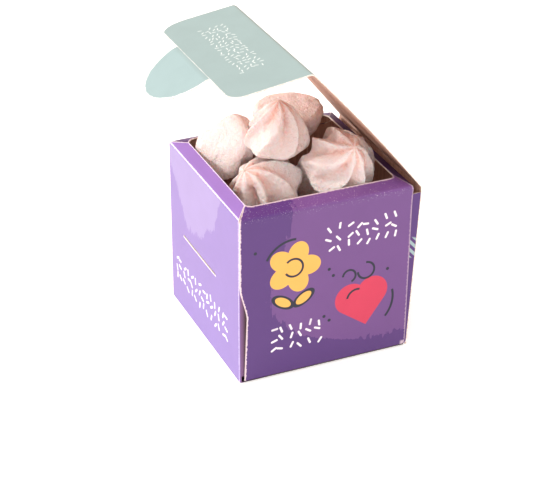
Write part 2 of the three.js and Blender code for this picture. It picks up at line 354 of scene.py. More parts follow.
class Net:
    """Places nodes in a tree, fills their sockets and wires them."""

    def __init__(self, tree):
        self.tree = tree
        self.placed = 0

    def add(self, kind, inputs=None, **fields):
        node = self.tree.nodes.new(kind)
        node.location = (220 * (self.placed % 12) - 2600, -320 * (self.placed // 12))
        self.placed += 1
        for field, value in fields.items():
            setattr(node, field, value)
        for socket, value in (inputs or {}).items():
            self.fill(node.inputs[socket], value)
        return node

    def fill(self, socket, value):
        if isinstance(value, bpy.types.NodeSocket):
            self.tree.links.new(value, socket)
        elif value is not None:
            socket.default_value = value

    def math(self, operation, a, b=None, c=None, clamp=False):
        inputs = {0: a, 1: b, 2: c}
        return self.add("ShaderNodeMath", inputs, operation=operation, use_clamp=clamp).outputs[0]

    def vector(self, operation, a, b=None, scale=None):
        node = self.add("ShaderNodeVectorMath", {0: a, 1: b}, operation=operation)
        if scale is not None:
            self.fill(node.inputs["Scale"], scale)
        return node.outputs["Value" if operation == "DOT_PRODUCT" else "Vector"]

    def ramp(self, value, low, high, bottom=0.0, top=1.0, smooth=True):
        """Goes from bottom to top as value goes from low to high."""
        kind = "SMOOTHSTEP" if smooth else "LINEAR"
        inputs = {"Value": value, 1: low, 2: high, 3: bottom, 4: top}
        node = self.add("ShaderNodeMapRange", inputs, interpolation_type=kind, clamp=True)
        return node.outputs["Result"]

    def mix(self, factor, a, b):
        """Colour a where factor is 0 and b where it is 1."""
        node = self.add("ShaderNodeMix", data_type="RGBA", blend_type="MIX")
        self.fill(node.inputs["Factor"], factor)
        self.fill(node.inputs["A"], a)
        self.fill(node.inputs["B"], b)
        return next(out for out in node.outputs if out.type == "RGBA")

    def noise(self, vector, scale, detail=3.0, roughness=0.55, dimensions="3D"):
        inputs = {"Vector": vector, "Scale": scale, "Detail": detail, "Roughness": roughness}
        return self.add("ShaderNodeTexNoise", inputs, noise_dimensions=dimensions).outputs[0]


def rgba(colour):
    """A colour with full opacity."""
    return (*colour, 1.0)


def effect(name, inputs, outputs):
    """A node group: its net, the sockets that it is given and those that it fills.

    It takes a place and the numbers in inputs, and gives the numbers in outputs.
    """
    tree = bpy.data.node_groups.new(name, "ShaderNodeTree")
    tree.interface.new_socket(name="Place", in_out="INPUT", socket_type="NodeSocketVector")
    for label in inputs:
        tree.interface.new_socket(name=label, in_out="INPUT", socket_type="NodeSocketFloat")
    for label in outputs:
        tree.interface.new_socket(name=label, in_out="OUTPUT", socket_type="NodeSocketFloat")
    net = Net(tree)
    return net, net.add("NodeGroupInput").outputs, net.add("NodeGroupOutput").inputs


def use(net, name, spot, **numbers):
    """Places an effect in a material. Each number goes to the socket of its name."""
    node = net.add("ShaderNodeGroup", node_tree=bpy.data.node_groups[name])
    net.fill(node.inputs["Place"], spot)
    for label, value in numbers.items():
        net.fill(node.inputs[label.capitalize()], value)
    return node.outputs


def wear(net, spot, distance, width):
    """Where the ink is worn off, by distance from an edge or a fold; on the slit side the same line is
    also a painted highlight.
    """
    return use(net, "worn line", spot, distance=distance, width=width)["Mask"]


def make_grain():
    """Fibre and mottle of coated card: a tint round 1, and a height for bump."""
    net, given, result = effect("card grain", ("Mottle",), ("Tint", "Height"))
    fibre = net.noise(given["Place"], 2.6, 4.0, 0.8)
    cloud = net.noise(given["Place"], 0.09, 2.0)
    fine = net.ramp(fibre, 0.3, 0.7, -1.0, 1.0, smooth=False)
    wide = net.ramp(cloud, 0.3, 0.7, -1.0, 1.0)
    both = net.math("MULTIPLY_ADD", wide, 0.3, fine)
    net.fill(result["Tint"], net.math("MULTIPLY_ADD", both, given["Mottle"], 1.0))
    net.fill(result["Height"], fibre)


def make_wear():
    """Ink worn off near an edge or along a fold, where on the slit side the line is also a painted
    highlight: 1 on the line, broken up further away.
    """
    net, given, result = effect("worn line", ("Distance", "Width"), ("Mask",))
    rough = net.noise(given["Place"], 0.9, 4.0, 0.65)
    reach = net.math("MULTIPLY", given["Width"], net.ramp(rough, 0.3, 0.7, 0.55, 1.6))
    share = net.math("DIVIDE", net.math("ABSOLUTE", given["Distance"]), reach)
    net.fill(result["Mask"], net.ramp(share, 0.6, 1.1, 1.0, 0.0))


def make_brushed():
    """Field of brushed paint: inside where Depth is over 0, with an edge frayed by bristles."""
    net, given, result = effect("brushed field", ("Depth", "Fray"), ("Mask",))
    strokes = net.vector("MULTIPLY", given["Place"], (1.0, 0.16, 1.0))
    bristles = net.noise(strokes, 0.55, 4.0, 0.65, "2D")
    blots = net.noise(given["Place"], 0.4, 4.0, 0.7, "2D")
    ragged = net.math("MULTIPLY_ADD", bristles, 0.65, net.math("MULTIPLY", blots, 0.35))
    shift = net.math("MULTIPLY", net.math("SUBTRACT", ragged, 0.5), given["Fray"])
    edge = net.math("ADD", given["Depth"], shift)
    net.fill(result["Mask"], net.ramp(edge, -0.15, 0.15))


def make_sprinkles():
    """Short rounded dashes, one to a cell and each turned its own way."""
    inputs, outputs = ("Pitch", "Length", "Width"), ("Mask", "Across", "Along")
    net, given, result = effect("sprinkles", inputs, outputs)
    spread = {"Vector": given["Place"], "Randomness": 0.55}
    cells = net.add("ShaderNodeTexVoronoi", spread, voronoi_dimensions="2D")
    net.fill(cells.inputs["Scale"], net.math("DIVIDE", 1.0, given["Pitch"]))
    inside = net.vector("SUBTRACT", given["Place"], cells.outputs["Position"])
    chance = net.add("ShaderNodeSeparateColor", {0: cells.outputs["Color"]}).outputs[0]
    turn = net.math("MULTIPLY", chance, math.pi)
    placed = {"Vector": inside, "Angle": turn}
    turned = net.add("ShaderNodeVectorRotate", placed, rotation_type="Z_AXIS")
    axes = net.add("ShaderNodeSeparateXYZ", {0: turned.outputs[0]})
    beyond = net.math("SUBTRACT", net.math("ABSOLUTE", axes.outputs[0]), given["Length"])
    beyond = net.math("MAXIMUM", beyond, 0.0)
    square = net.math("MULTIPLY", beyond, beyond)
    distance = net.math("SQRT", net.math("MULTIPLY_ADD", axes.outputs[1], axes.outputs[1], square))
    beside = net.math("SUBTRACT", distance, given["Width"])
    net.fill(result["Mask"], net.ramp(beside, -0.1, 0.1, 1.0, 0.0))
    middle = net.add("ShaderNodeSeparateXYZ", {0: cells.outputs["Position"]})
    net.fill(result["Across"], middle.outputs[0])
    net.fill(result["Along"], middle.outputs[1])


def new_material(name):
    """The net and the shader of a new node material."""
    material = bpy.data.materials.new(name)
    material.use_nodes = True
    material.node_tree.nodes.clear()
    net = Net(material.node_tree)
    shader = net.add("ShaderNodeBsdfPrincipled")
    output = net.add("ShaderNodeOutputMaterial")
    net.fill(output.inputs["Surface"], shader.outputs[0])
    return net, shader


def object_place(net):
    """The place in the object, in millimetres."""
    return net.vector("SCALE", net.add("ShaderNodeTexCoord").outputs["Object"], scale=1 / MM)


def flat_place(net):
    """The place on the flat sheet as a vector, then across, along and distance from an edge."""
    flat = net.add("ShaderNodeAttribute", attribute_name="flat").outputs["Vector"]
    axes = net.add("ShaderNodeSeparateXYZ", {0: flat})
    spot = net.add("ShaderNodeCombineXYZ", {0: axes.outputs[0], 1: axes.outputs[1]}).outputs[0]
    return spot, axes.outputs[0], axes.outputs[1], axes.outputs[2]


def curve_of(net, value, low, high, points, bottom, top):
    """A smooth curve through points, read at value: both axes have their own range."""
    share = net.ramp(value, low, high, smooth=False)
    node = net.add("ShaderNodeFloatCurve", {"Value": share})
    curve = node.mapping.curves[0]
    scaled = [((a - low) / (high - low), (b - bottom) / (top - bottom)) for a, b in points]
    while len(curve.points) < len(scaled):
        curve.points.new(0.5, 0.5)
    for point, (a, b) in zip(curve.points, scaled):
        point.location = (a, b)
        point.handle_type = "AUTO_CLAMPED"
    node.mapping.update()
    return net.ramp(node.outputs[0], 0.0, 1.0, bottom, top, smooth=False)


def band(net, value, low, high, soft=0.3):
    """1 between low and high."""
    rising = net.ramp(value, low - soft, low + soft)
    return net.math("MULTIPLY", rising, net.ramp(value, high - soft, high + soft, 1.0, 0.0))


def patch(net, across, along, left, right, low, high):
    """1 inside a rectangle."""
    return net.math("MULTIPLY", band(net, across, left, right), band(net, along, low, high))


def polar(net, across, along, middle):
    """Distance and angle from a middle."""
    x = net.math("SUBTRACT", across, middle[0])
    y = net.math("SUBTRACT", along, middle[1])
    away = net.math("SQRT", net.math("MULTIPLY_ADD", x, x, net.math("MULTIPLY", y, y)))
    return x, y, away, net.math("ARCTAN2", y, x)


def flower(net, across, along, middle, radius, petals):
    """Round petals: inside where the distance is under a radius that swells at each petal."""
    _, _, away, angle = polar(net, across, along, middle)
    swell = net.math("COSINE", net.math("MULTIPLY", angle, petals / 2))
    limit = net.math("MULTIPLY_ADD", net.math("ABSOLUTE", swell), 0.36 * radius, 0.64 * radius)
    return net.ramp(net.math("SUBTRACT", away, limit), -0.12, 0.12, 1.0, 0.0)


def ring(net, across, along, middle, radius, width, first, last):
    """Part of a ring between two angles."""
    _, _, away, angle = polar(net, across, along, middle)
    off = net.math("ABSOLUTE", net.math("SUBTRACT", away, radius))
    line = net.ramp(net.math("SUBTRACT", off, width), -0.1, 0.1, 1.0, 0.0)
    return net.math("MULTIPLY", line, band(net, angle, first, last, 0.02))


def heart(net, across, along, middle, size, tilt):
    """A heart: a square that stands on a corner, with a disc on each of its two upper sides."""
    x, y, _, _ = polar(net, across, along, middle)
    cosine, sine = math.cos(tilt + math.pi / 4) / size, math.sin(tilt + math.pi / 4) / size
    u = net.math("MULTIPLY_ADD", x, cosine, net.math("MULTIPLY", y, sine))
    v = net.math("MULTIPLY_ADD", y, cosine, net.math("MULTIPLY", x, -sine))
    square = net.math("MAXIMUM", net.math("ABSOLUTE", u), net.math("ABSOLUTE", v))
    for a, b in ((u, v), (v, u)):
        beyond = net.math("SUBTRACT", a, 1.0)
        away = net.math("MULTIPLY_ADD", beyond, beyond, net.math("MULTIPLY", b, b))
        square = net.math("MINIMUM", square, net.math("SQRT", away))
    return net.ramp(square, 0.98, 1.02, 1.0, 0.0)


def leaf(net, across, along, middle, axes, turn):
    """Outside distance of a turned ellipse as a share of its size, less 1."""
    x, y, _, _ = polar(net, across, along, middle)
    cosine, sine = math.cos(turn), math.sin(turn)
    u = net.math("MULTIPLY_ADD", x, cosine / axes[0], net.math("MULTIPLY", y, sine / axes[0]))
    v = net.math("MULTIPLY_ADD", y, cosine / axes[1], net.math("MULTIPLY", x, -sine / axes[1]))
    square = net.math("MULTIPLY_ADD", u, u, net.math("MULTIPLY", v, v))
    return net.math("SUBTRACT", net.math("SQRT", square), 1.0)


def dots(net, across, along, middles, radius):
    """Small round dots."""
    found = None
    for middle in middles:
        _, _, away, _ = polar(net, across, along, middle)
        spot = net.ramp(away, radius - 0.12, radius + 0.12, 1.0, 0.0)
        found = spot if found is None else net.math("MAXIMUM", found, spot)
    return found


def finish_card(net, shader, spot, colour, height_scale=1.0, gloss=0.40):
    """Grain over the ink, and a satin surface."""
    grain = use(net, "card grain", spot, mottle=0.06)
    net.fill(shader.inputs["Base Color"], net.vector("SCALE", colour, scale=grain["Tint"]))
    rough = net.ramp(grain["Height"], 0.2, 0.8, gloss, gloss + 0.14)
    net.fill(shader.inputs["Roughness"], rough)
    bump = net.add("ShaderNodeBump", {"Strength": 0.22 * height_scale, "Distance": 0.00004})
    net.fill(bump.inputs["Height"], grain["Height"])
    net.fill(shader.inputs["Normal"], bump.outputs[0])


def front_print(colours):
    """Deep purple with a brushed field, a flower, a heart, dots and white sprinkles."""
    net, shader = new_material("front print")
    spot, across, along, edge = flat_place(net)
    contour = [(8, 22), (12, 5), (19, -13), (26, -20), (36, -26), (47, -25), (60, -20), (86, -14)]
    limit = curve_of(net, along, 8, 86, contour, -30, 30)
    depth = net.math("SUBTRACT", across, limit)
    depth = net.math("MINIMUM", depth, net.math("SUBTRACT", along, 9.0))
    field = use(net, "brushed field", spot, depth=depth, fray=13.0)["Mask"]
    colour = net.mix(field, rgba(colours.front_ink), rgba(colours.front_field))
    # Painted light: the strip over the fold takes the same ink made 1.35 times lighter, for the light
    # on its upward-facing slope.
    strip = net.vector("SCALE", colour, scale=1.35)
    colour = net.mix(net.ramp(along, 78.6, 79.8), colour, strip)
    bloom = flower(net, across, along, (-15.5, 52.5), 12.5, 5)
    colour = net.mix(bloom, colour, rgba(colours.yellow))
    for middle, turn in (((-20.4, 36.6), -0.55), ((-10.8, 36.8), 0.6)):
        away = leaf(net, across, along, middle, (5.0, 2.5), turn)
        colour = net.mix(net.ramp(away, -0.05, 0.05, 1.0, 0.0), colour, rgba(colours.yellow))
        rim = net.math("ABSOLUTE", away)
        colour = net.mix(net.ramp(rim, 0.15, 0.22, 1.0, 0.0), colour, rgba(colours.navy))
    love = heart(net, across, along, (17.5, 26.5), 7.4, 0.16)
    colour = net.mix(love, colour, rgba(colours.red))
    for middle, radius, width, first, last in FRONT_RINGS:
        line = ring(net, across, along, middle, radius, width, first, last)
        colour = net.mix(line, colour, rgba(colours.navy))
    loose = dots(net, across, along, FRONT_DOTS, 0.75)
    colour = net.mix(loose, colour, rgba(colours.navy))
    strewn = use(net, "sprinkles", spot, pitch=4.4, length=1.15, width=0.5)
    cell = (strewn["Across"], strewn["Along"])
    upper = patch(net, *cell, -1, 33, 57, 69)
    lower = patch(net, *cell, -28, -2, 13, 24)
    white = net.math("MULTIPLY", strewn["Mask"], net.math("MAXIMUM", upper, lower))
    colour = net.mix(white, colour, TINTS["front sprinkles"])
    speckle = net.ramp(net.noise(spot, 2.0, 2.0, 0.5), 0.66, 0.70)
    near_fold = band(net, along, 77.5, 86.0, 2.0)
    colour = net.mix(net.math("MULTIPLY", speckle, near_fold), colour, TINTS["front flecks"])
    speck = net.ramp(net.noise(spot, 0.9, 3.0, 0.7), 0.72, 0.76, 0.0, 0.5)
    colour = net.mix(speck, colour, rgba(colours.navy))
    far_side = net.ramp(across, 30.0, 36.0, 1.0, 0.35)
    worn = net.math("MULTIPLY", wear(net, spot, edge, 0.62), far_side)
    low = net.ramp(along, 2.4, 3.6, 0.7, 0.0)
    crushed = net.math("MULTIPLY", net.ramp(across, 36.2, 37.6), low)
    worn = net.math("MAXIMUM", worn, crushed)
    colour = net.mix(worn, colour, TINTS["front wear"])
    finish_card(net, shader, spot, colour)


def slit_side_print(colours):
    """Lilac with painted sheen and a paler brushed field that drips at its foot, white sprinkles, and
    painted light on its frame strip and folds.
    """
    net, shader = new_material("slit side print")
    spot, across, along, edge = flat_place(net)
    contour = [(-23, 84), (-18, 74), (-12, 62), (-3, 56), (2, 50), (9, 49)]
    contour += [(18, 47), (25, 54), (41, 72)]
    limit = curve_of(net, across, -23, 41, contour, 40, 90)
    depth = net.math("SUBTRACT", along, limit)
    depth = net.math("MINIMUM", depth, net.math("ADD", across, 23.0))
    field = use(net, "brushed field", spot, depth=depth, fray=17.0)["Mask"]
    colour = net.mix(field, rgba(colours.side_ink_and_sheen), rgba(colours.side_field_and_sheen))
    strewn = use(net, "sprinkles", spot, pitch=4.6, length=1.2, width=0.55)
    lower = patch(net, strewn["Across"], strewn["Along"], -27, 36, 13, 26)
    white = net.math("MULTIPLY", strewn["Mask"], lower)
    colour = net.mix(white, colour, TINTS["side sprinkles"])
    # Painted light: the strip over the fold is the same card as the wall, and its deeper violet against
    # the wall's sheened lilac stands for the different light on each.
    strip = net.ramp(along, 79.2, 80.4)
    colour = net.mix(strip, colour, TINTS["side strip"])
    slit = band(net, across, SLIT["near"] - 0.4, SLIT["far"] + 0.4, 0.2)
    lips = net.math("MULTIPLY", slit, band(net, along, 39.3, 39.9, 0.1))
    colour = net.mix(lips, colour, TINTS["slit lips"])
    # Worn lines at the edges and along the top fold, which also stand as a painted highlight on the
    # upright corner and the fold.
    worn = wear(net, spot, edge, 0.4)
    bent = wear(net, spot, net.math("SUBTRACT", along, TOP), 0.3)
    colour = net.mix(net.math("MAXIMUM", worn, bent), colour, TINTS["side wear and fold highlight"])
    finish_card(net, shader, spot, colour)


def plain_print(name, plain, stripes=None):
    """Plain purple card, on the lid's wall with slanting mint stripes near the front."""
    net, shader = new_material(name)
    spot, across, along, edge = flat_place(net)
    colour = rgba(plain)
    if stripes is not None:
        slant = net.math("MULTIPLY_ADD", across, 1.1, along)
        wave = net.math("FRACT", net.math("DIVIDE", slant, 3.9))
        line = band(net, wave, 0.15, 0.65, 0.03)
        zone = band(net, net.math("MULTIPLY_ADD", across, 0.3, along), 33, 43, 0.5)
        line = net.math("MULTIPLY", line, zone)
        line = net.math("MULTIPLY", line, net.ramp(across, -23.0, -22.0, 1.0, 0.0))
        colour = net.mix(line, colour, rgba(stripes))
    worn = wear(net, spot, edge, 0.35)
    colour = net.mix(worn, colour, TINTS["plain wear"])
    finish_card(net, shader, spot, colour)


def notch_flap_shade(colours):
    """Painted shade: lilac at the upright corner, then plum that darkens towards the front panel's
    edge, for the shade behind that edge.
    """
    net, shader = new_material("notch flap painted shade")
    spot, across, _, _ = flat_place(net)
    bent = net.ramp(across, -39.95, -39.5)
    corner = net.mix(bent, rgba(colours.side_ink_and_sheen), TINTS["notch corner"])
    colour = net.mix(net.ramp(across, -39.4, -37.2), corner, TINTS["notch flap"])
    finish_card(net, shader, spot, colour)


def mint_print(colours):
    """Mint card with small white sprinkles in the middle of the flap."""
    net, shader = new_material("mint print")
    spot, _, _, edge = flat_place(net)
    strewn = use(net, "sprinkles", spot, pitch=2.5, length=0.7, width=0.2)
    area = patch(net, strewn["Across"], strewn["Along"], -22, 26, 132, 144)
    white = net.math("MULTIPLY", strewn["Mask"], area)
    colour = net.mix(white, rgba(colours.mint), TINTS["mint sprinkles"])
    worn = wear(net, spot, edge, 0.35)
    colour = net.mix(worn, colour, TINTS["mint wear"])
    finish_card(net, shader, spot, colour)


def board_inside(colours):
    """Unprinted grey-brown board with long fibres."""
    net, shader = new_material("board inside")
    spot, across, along, _ = flat_place(net)
    short = net.math("MULTIPLY", along, 0.06)
    stretched = net.add("ShaderNodeCombineXYZ", {0: across, 1: short})
    streak = net.noise(stretched.outputs[0], 0.8, 4.0, 0.6)
    pale = tuple(1.15 * part + 0.05 for part in colours.board)
    colour = net.mix(net.ramp(streak, 0.35, 0.65), rgba(colours.board), rgba(pale))
    finish_card(net, shader, spot, colour, 2.0, 0.7)


def cut_edge():
    """Cream core of the card where it is cut."""
    net, shader = new_material("cut edge")
    layers = net.noise(object_place(net), 1.4, 3.0)
    colour = net.mix(net.ramp(layers, 0.35, 0.65), TINTS["dark core"], TINTS["pale core"])
    net.fill(shader.inputs["Base Color"], colour)
    net.fill(shader.inputs["Roughness"], net.ramp(layers, 0.2, 0.8, 0.7, 0.9))


def kiss_skin(colours):
    """Dull sugar skin: pinker in the valleys as painted shade, with painted shade too in the low spots
    of its fine crumb and in its pits; streaked and pitted, and slightly translucent.
    """
    net, shader = new_material("kiss skin")
    spot = object_place(net)
    valley = net.add("ShaderNodeAttribute", attribute_name="valley").outputs["Fac"]
    piping = net.add("ShaderNodeAttribute", attribute_name="piping").outputs["Vector"]
    streak = net.noise(piping, 1.0, 4.0, 0.6)
    cloud = net.noise(spot, 0.16, 3.0, 0.6)
    crumb = net.noise(spot, 0.75, 4.0, 0.65)
    cells = net.add("ShaderNodeTexVoronoi", {"Vector": spot, "Scale": 0.17, "Randomness": 1.0})
    pore = net.math("MULTIPLY", net.ramp(cells.outputs["Distance"], 0.05, 0.1, 1.0, 0.0), 0.4)
    # Painted shade: the valley colour goes into the valleys, and into the low spots of the fine crumb,
    # which also gives the bump; the streak term tints along the piping.
    deep = net.ramp(valley, 0.3, 0.95)
    painted_shade_and_streaks = net.math("MULTIPLY", deep, net.ramp(cloud, 0.3, 0.7, 0.35, 0.8))
    painted_shade_and_streaks = net.math("ADD", painted_shade_and_streaks, net.ramp(crumb, 0.36, 0.60, 0.2, 0.0, smooth=False))
    painted_shade_and_streaks = net.math("ADD", painted_shade_and_streaks, net.ramp(streak, 0.55, 0.75, 0.0, 0.1), clamp=True)
    colour = net.mix(painted_shade_and_streaks, rgba(colours.marshmallow), rgba(colours.valley))
    # Painted shade in the pits, which the bump also sinks.
    colour = net.mix(pore, colour, TINTS["pore"])
    net.fill(shader.inputs["Base Color"], colour)
    net.fill(shader.inputs["Roughness"], net.ramp(cloud, 0.3, 0.7, 0.72, 0.88))
    shader.inputs["Subsurface Weight"].default_value = 0.4
    shader.inputs["Subsurface Radius"].default_value = (1.0, 0.38, 0.26)
    shader.inputs["Subsurface Scale"].default_value = 0.004
    shader.inputs["Specular IOR Level"].default_value = 0.3
    height = net.math("MULTIPLY_ADD", crumb, 1.0, net.math("MULTIPLY", pore, -0.5))
    height = net.math("MULTIPLY_ADD", cloud, 0.8, height)
    bump = net.add("ShaderNodeBump", {"Strength": 0.9, "Distance": 0.0013})
    net.fill(bump.inputs["Height"], height)
    net.fill(shader.inputs["Normal"], bump.outputs[0])


def materials():
    """Every material by name, made on the first call."""
    known = bpy.data.materials
    if "kiss skin" not in known:
        colours = bpy.context.scene.carton_colours
        for make in (make_grain, make_wear, make_brushed, make_sprinkles):
            make()
        front_print(colours)
        slit_side_print(colours)
        plain_print("back print", colours.front_ink)
        plain_print("lid wall print", colours.front_ink, colours.mint)
        notch_flap_shade(colours)
        # Painted shade: the base's outside is near black.
        plain_print("base painted shade", BASE_SHADE)
        mint_print(colours)
        board_inside(colours)
        cut_edge()
        kiss_skin(colours)
    return known


def card_materials(outside):
    """Printed face, unprinted back and cut edge of one sheet."""
    known = materials()
    return [known[outside], known["board inside"], known["cut edge"]]


def carton_piece(name, points, flat, outside, outward=-1, keep=None):
    """A sheet of the carton itself, with a print on its outside."""
    piece = card_sheet(name, points, flat, card_materials(outside), outward, keep)
    place(piece, "box", "carton")


def lid_piece(name, points, flat, body, node):
    """A mint sheet that turns with a body of the lid."""
    place(card_sheet(name, points, flat, card_materials("mint print"), -1), body, node)


# Card


def fold_profile(inset, radius):
    """From wall to opening: share of the inset and height, over a rounded fold.

    The strip climbs at a constant slope from the top of the wall. An arc touches both the
    upright wall and the slope; its radius is that of the fold.
    """
    slope = math.atan2(OPENING["rise"], inset)
    turn = math.pi / 2 - slope
    reach = radius * math.tan(turn / 2)
    angles = np.linspace(0, turn, 7)
    across = radius * (1 - np.cos(angles))
    height = TOP - reach + radius * np.sin(angles)
    rest = np.array([0.12, 0.25, 0.4, 0.55, 0.7, 0.82, 0.9, 0.95, 0.98, 1.0])
    start = across[-1]
    along = start + (inset - start) * rest
    across = np.concatenate([across, along])
    height = np.concatenate([height, TOP + along * math.tan(slope)])
    return across / inset, height, TOP - reach


def strip_length(share, height, inset):
    """Distance up the sheet at each row, so that the print runs on over the fold."""
    steps = np.hypot(np.diff(share) * inset, np.diff(height))
    return height[0] + np.concatenate([[0.0], np.cumsum(steps)])


def corner_arc(first, corner, last):
    """Quarter of an ellipse from first to last, which bulges towards the corner."""
    first, corner, last = (np.array(point) for point in (first, corner, last))
    turn = np.linspace(0, math.pi / 2, 6)[:, None]
    return corner + (first - corner) * (1 - np.sin(turn)) + (last - corner) * (1 - np.cos(turn))


def opening_side(side):
    """Line along one side of the opening, with the rounded corners that belong to it."""
    left, right, front, back = (OPENING[key] for key in ("left", "right", "front", "back"))
    near_left, near_right = CORNERS["front_left"], CORNERS["front_right"]
    far_left, far_right = CORNERS["back_left"], CORNERS["back_right"]
    ends = {
        "front left": (left, front + near_left),
        "left front": (left + 0.8 * near_left, front),
        "right front": (right - 0.7 * near_right, front),
        "front right": (right, front + near_right),
        "back right": (right, back - far_right),
        "right back": (right - far_right, back),
        "left back": (left + far_left, back),
        "back left": (left, back - 0.8 * far_left),
    }
    if side == "front":
        first = corner_arc(ends["front left"], (left, front), ends["left front"])
        last = corner_arc(ends["right front"], (right, front), ends["front right"])
        return np.concatenate([first, last])
    if side == "back":
        first = corner_arc(ends["back right"], (right, back), ends["right back"])
        last = corner_arc(ends["left back"], (left, back), ends["back left"])
        return np.concatenate([first, last])
    if side == "left":
        return np.array([ends["back left"], ends["front left"]])
    return np.array([ends["front right"], ends["back right"]])


def along_line(corners, share):
    """Places at shares of the way along a line of straight pieces, by true length."""
    lengths = np.linalg.norm(np.diff(corners, axis=0), axis=1)
    at = np.concatenate([[0.0], np.cumsum(lengths)]) / lengths.sum()
    return np.stack([np.interp(share, at, corners[:, k]) for k in (0, 1)], axis=-1)


def wall_with_strip(side, start, end, radius, bulge, cuts=None, rows=26, foot=BASE_GAP):
    """Grid of a wall that folds over into its strip of the frame round the opening.

    Rows go up the wall from just above the table, round the fold and up the strip. Columns
    go from start to end, seen from outside. On the strip each column moves from its place on
    the wall's top edge towards its place on the opening's edge.
    """
    share = graded(80.0, 34)
    outer = np.array(start) + (np.array(end) - np.array(start)) * share[:, None]
    inner = along_line(opening_side(side), share)
    inset, inward = STRIPS[side]
    mix, height, top = fold_profile(inset, radius)
    mix = mix[:, None]
    wall = np.linspace(foot, top, rows)[:-1]
    points = np.zeros((len(wall) + len(mix), len(share), 3))
    up = (wall - foot) / (top - foot)
    swell = bulge * np.sin(math.pi * up)[:, None] * np.sin(math.pi * share)[None, :]
    for k in (0, 1):
        points[: len(wall), :, k] = outer[None, :, k] - inward[k] * swell
        points[len(wall) :, :, k] = outer[None, :, k] * (1 - mix) + inner[None, :, k] * mix
    points[: len(wall), :, 2] = wall[:, None]
    points[len(wall) :, :, 2] = height[:, None]
    if cuts is not None:
        left, right = cuts(wall)
        points[: len(wall), :, 0] += left[:, None] * (1 - share) - right[:, None] * share
    up_sheet = np.concatenate([wall, strip_length(mix[:, 0], height, inset)])
    flat = np.zeros_like(points)
    flat[..., 0] = points[..., 0] if side in ("front", "back") else points[..., 1]
    flat[..., 1] = up_sheet[:, None]
    from_ends = np.minimum(share, 1 - share) * np.linalg.norm(outer[-1] - outer[0])
    to_opening = up_sheet[-1] - up_sheet
    flat[..., 2] = np.minimum(from_ends[None, :], to_opening[:, None])
    return points, flat


def front_cuts(height):
    """How far the front panel's free edges are cut back on the left and on the right.

    On the left there is nothing above and most at the knee; the right edge runs aslant, and
    its bottom corner is crushed.
    """
    cut = FRONT_CUT
    left = np.interp(
        height,
        [0.0, cut["knee"] - 1.5, cut["knee"] + 1.5, cut["high"] - 2.0, cut["high"] + 1.0],
        [cut["foot_inset"], cut["knee_inset"], cut["knee_inset"] - 0.5, 0.25, 0.0],
    )
    right = np.interp(height, [0.0, 1.0, 2.2, 4.0, 70.0, 79.0], [2.4, 2.0, 1.1, 0.85, 0.4, 0.1])
    return left, right


def lid_wall_x(height):
    """Outer face of the leaning wall at a height."""
    return WALL_FOOT + height * math.tan(WALL_LEAN)


def rectangle(corner, first, second, rows, columns):
    """Grid of a flat rectangle from a corner along two edges, with its place on the sheet."""
    down = graded(float(np.linalg.norm(first)), rows)
    over = graded(float(np.linalg.norm(second)), columns)
    points = (
        np.array(corner, float)
        + down[:, None, None] * np.array(first, float)
        + over[None, :, None] * np.array(second, float)
    )
    return points, down, over


def unworn(points, across, along):
    """Place on the sheet from two of the axes, far from any edge, so that no ink wears off."""
    far = np.full(points.shape[:2], 9.0)
    return np.stack([points[..., across], points[..., along], far], axis=-1)


